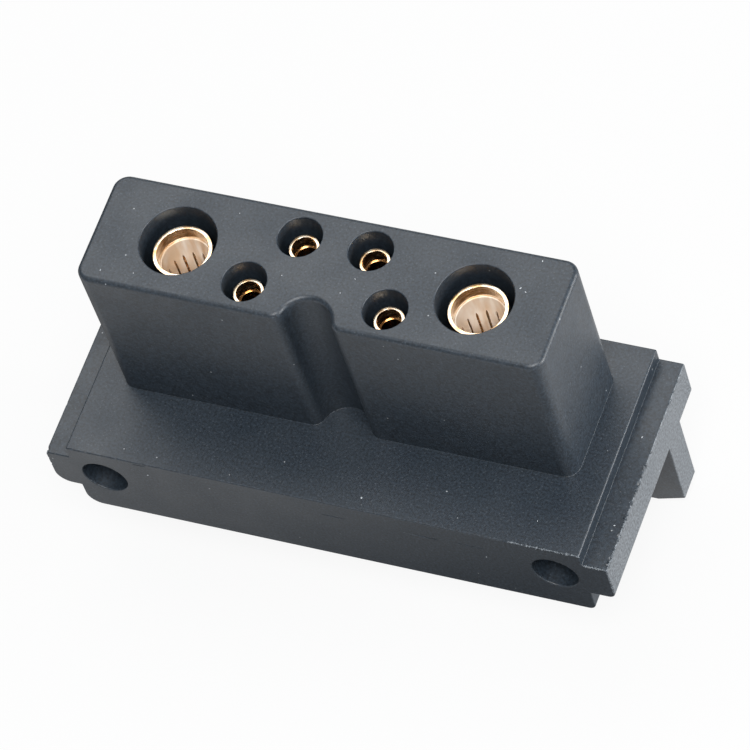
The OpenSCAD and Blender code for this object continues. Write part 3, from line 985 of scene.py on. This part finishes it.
def crumb_tree(name, spaced):
    """Uneven flat bits, each with its own size and turn, along the edges of a mesh or else on its points."""
    tree, given, result = node_tree(
        name, Geometry=["Geometry"], Float=["Reach", "Spacing"] if spaced else ["Reach"], Int=["Seed"],
        Material=["Material"])
    if spaced:
        route = add(tree, "GeometryNodeMeshToCurve", {"Mesh": given["Geometry"]})
        points = add(tree, "GeometryNodeCurveToPoints", {
            "Curve": route, "Length": given["Spacing"]}, mode="LENGTH")
    else:
        points = add(tree, "GeometryNodeMeshToPoints", {"Mesh": given["Geometry"]})
    bit = add(tree, "GeometryNodeMeshIcoSphere", {"Radius": 1.0, "Subdivisions": 1})
    spin, reach = (
        add(tree, "FunctionNodeRandomValue", {0: low, 1: high, "Seed": given["Seed"]},
            data_type="FLOAT_VECTOR") for low, high in (BIT_TURNS, BIT_SHARES))
    scale = add(tree, "ShaderNodeVectorMath", {0: reach, "Scale": given["Reach"]}, operation="SCALE")
    bits = add(tree, "GeometryNodeInstanceOnPoints", {
        "Points": points, "Instance": bit, "Rotation": spin, "Scale": scale})
    real = add(tree, "GeometryNodeRealizeInstances", {"Geometry": bits})
    done = add(tree, "GeometryNodeSetMaterial", {"Geometry": real, "Material": given["Material"]})
    feed(tree, result, {"Geometry": done})
    return tree


class SOCKET_OT_flash(Operator):
    """Leaves torn bits of mould flash along the edges of the base's right front corner"""

    bl_idname = "socket.flash"
    bl_label = "Leave the Mould Flash"

    def execute(self, context):
        size = context.scene.socket_crumbs
        routes = bmesh.new()
        for ends in FLASH_ROUTES:
            routes.edges.new([routes.verts.new(Vector(point) * MM) for point in ends])
        flash = grow("torn_mould_flash", crumb_tree("mould flash", spaced=True), {
            "Spacing": size.flash_spacing,
            "Reach": size.flash_reach,
            "Seed": size.seed,
            "Material": torn_nylon(context.scene.socket_finish),
        }, routes)
        hand_over(flash, "housing")
        return {"FINISHED"}


class SOCKET_OT_dust(Operator):
    """Lets a few specks of dust settle on the housing"""

    bl_idname = "socket.dust"
    bl_label = "Let Dust Settle"

    def execute(self, context):
        size = context.scene.socket_crumbs
        spots = bmesh.new()
        for spot in DUST_SPOTS:
            spots.verts.new(Vector(spot) * MM)
        dust = grow("settled_dust", crumb_tree("settled dust", spaced=False), {
            "Reach": size.dust_reach,
            "Seed": size.seed,
            "Material": house_dust(context.scene.socket_finish),
        }, spots)
        hand_over(dust, "housing")
        return {"FINISHED"}


# Stage

# Softboxes: name, place from the point that the camera looks at, width and height in metres, linear colour
LAMPS = (
    ("key", (-0.22, 0.3, 0.55), (0.55, 0.4), (1.0, 0.99, 0.97)),
    ("side", (0.62, 0.12, 0.14), (0.4, 0.2), (1.0, 1.0, 1.0)),
    ("near", (0.17, -0.24, 0.55), (0.3, 0.3), (1.0, 1.0, 1.0)),
)
# Painted reflection: headings along which the floor that glossy rays see grows white, at the right and the
# front (out of a painted shadow), from and to in millimetres
PAINTED_REFLECTION_RAMPS = (((0.61, 0.79, 0.0), 6.0, 22.0), ((-0.3, -0.95, 0.0), 0.0, 14.5))
# Half the floor's side, and the nearest that the camera sees, in metres
FLOOR_HALF, NEAR_CLIP = 3.0, 0.01


def softbox(name, place, aim, extent, watts, colour):
    """A soft lamp at a place, turned towards another."""
    lamp = bpy.data.lights.new(name, "AREA")
    lamp.shape = "RECTANGLE"
    lamp.size, lamp.size_y = extent
    lamp.energy = watts
    lamp.color = colour
    thing = bpy.data.objects.new(name, lamp)
    thing.location = place
    thing.rotation_euler = (aim - place).to_track_quat("-Z", "Y").to_euler()
    bpy.context.scene.collection.objects.link(thing)


def studio_floor(finish, stage):
    """Matt white card: even and pale, nearly white to the eye, with the object's soft shadow on it, and a
    painted reflection for glossy rays.
    """
    material, tree, shader, spot = blank("studio_floor")
    feed(tree, shader, {"Base Color": rgba(finish.floor), "Roughness": 0.9, "Specular IOR Level": 0.1})
    path = add(tree, "ShaderNodeLightPath").node.outputs
    # Glossy rays see a painted reflection: a floor painted white at the right and the back, and a painted
    # shadow that dims it close to the front
    painted_ramps = []
    for (heading, start, full), least in zip(PAINTED_REFLECTION_RAMPS, (0.0, stage.floor_painted_shadow)):
        along = add(tree, "ShaderNodeVectorMath", {0: spot, 1: heading}, "Value", operation="DOT_PRODUCT")
        painted_ramps.append(add(tree, "ShaderNodeMapRange", {
            "Value": along, "From Min": start * MM, "From Max": full * MM,
            "To Min": least, "To Max": stage.floor_painted_reflection}))
    # Painted reflection level for glossy rays, with its painted shadow close to the object's front
    painted_reflection_level = add(tree, "ShaderNodeMath", dict(enumerate(painted_ramps)), operation="MAXIMUM")
    level = add(tree, "ShaderNodeMix", {"Factor": path["Is Glossy Ray"], "A": 1.0, "B": painted_reflection_level})
    lift = path["Is Glossy Ray"]
    for ray in ("Is Camera Ray", "Is Transmission Ray"):
        white = add(tree, "ShaderNodeMath", {0: path[ray], 1: stage.floor_white}, operation="MULTIPLY")
        lift = add(tree, "ShaderNodeMath", {0: lift, 1: white}, operation="MAXIMUM")
    white = add(tree, "ShaderNodeEmission", {"Color": (1.0, 1.0, 1.0, 1.0), "Strength": level})
    both = add(tree, "ShaderNodeMixShader", {0: lift, 1: shader.outputs[0], 2: white})
    feed(tree, tree.nodes["Material Output"], {"Surface": both})
    return material


class SOCKET_OT_stage(Operator):
    """Sets the floor, the lamps, the room's light and the camera"""

    bl_idname = "socket.stage"
    bl_label = "Set the Stage"

    def execute(self, context):
        scene = context.scene
        stage = scene.socket_stage
        finish = scene.socket_finish
        look = Vector((stage.look_x, stage.look_y, stage.look_z))

        ground = bmesh.new()
        bmesh.ops.create_grid(ground, x_segments=1, y_segments=1, size=FLOOR_HALF)
        floor = make("floor", ground, studio_floor(finish, stage))
        floor.data.transform(Matrix.Translation((0.0, 0.0, HOUSING_LOW.z)))

        for name, offset, extent, colour in LAMPS:
            softbox(name, look + Vector(offset), look, extent, getattr(stage, name), colour)

        world = bpy.data.worlds.new("room")
        world.use_nodes = True
        background = world.node_tree.nodes["Background"]
        feed(world.node_tree, background, {"Color": rgba(finish.room), "Strength": stage.fill})
        scene.world = world

        camera = bpy.data.cameras.new("camera")
        camera.lens = stage.lens
        camera.clip_start = NEAR_CLIP
        seat = bpy.data.objects.new("camera", camera)
        level = math.cos(stage.elevation)
        back = Vector((
            math.sin(stage.azimuth) * level, -math.cos(stage.azimuth) * level, math.sin(stage.elevation)))
        upright = (-back).to_track_quat("-Z", "Y").to_matrix()
        seat.location = look + back * stage.distance
        seat.rotation_euler = (upright @ Matrix.Rotation(stage.roll, 3, "Z")).to_euler()
        scene.collection.objects.link(seat)
        scene.camera = seat
        scene.view_settings.view_transform = "Standard"
        return {"FINISHED"}


class SOCKET_PT_panel(Panel):
    """Lists the steps that make the socket and the sizes that they use"""

    bl_idname = "SOCKET_PT_panel"
    bl_label = "Power and Signal Socket"
    bl_space_type = "VIEW_3D"
    bl_region_type = "UI"
    bl_category = "Socket"

    def draw(self, context):
        for operator in OPERATORS:
            self.layout.operator(operator.bl_idname)
        for name, group in SETTINGS.items():
            box = self.layout.box()
            for field in group.__annotations__:
                box.prop(getattr(context.scene, name), field)


SETTINGS = {
    "socket_housing": HousingSizes,
    "socket_contacts": ContactSizes,
    "socket_springs": SpringSizes,
    "socket_clips": ClipSizes,
    "socket_crumbs": CrumbSizes,
    "socket_finish": FinishColours,
    "socket_stage": StageSettings,
}
OPERATORS = (
    SOCKET_OT_housing,
    SOCKET_OT_contacts,
    SOCKET_OT_springs,
    SOCKET_OT_clips,
    SOCKET_OT_flash,
    SOCKET_OT_dust,
    SOCKET_OT_stage,
)
CLASSES = (*SETTINGS.values(), *OPERATORS, SOCKET_PT_panel)


def register():
    for kind in CLASSES:
        bpy.utils.register_class(kind)
    for name, group in SETTINGS.items():
        setattr(bpy.types.Scene, name, PointerProperty(type=group))


def unregister():
    for name in SETTINGS:
        delattr(bpy.types.Scene, name)
    for kind in reversed(CLASSES):
        bpy.utils.unregister_class(kind)


def main():
    register()
    bpy.ops.socket.housing()
    bpy.ops.socket.contacts()
    bpy.ops.socket.springs()
    bpy.ops.socket.clips()
    bpy.ops.socket.flash()
    bpy.ops.socket.dust()
    bpy.ops.socket.stage()


if __name__ == "__main__":
    main()
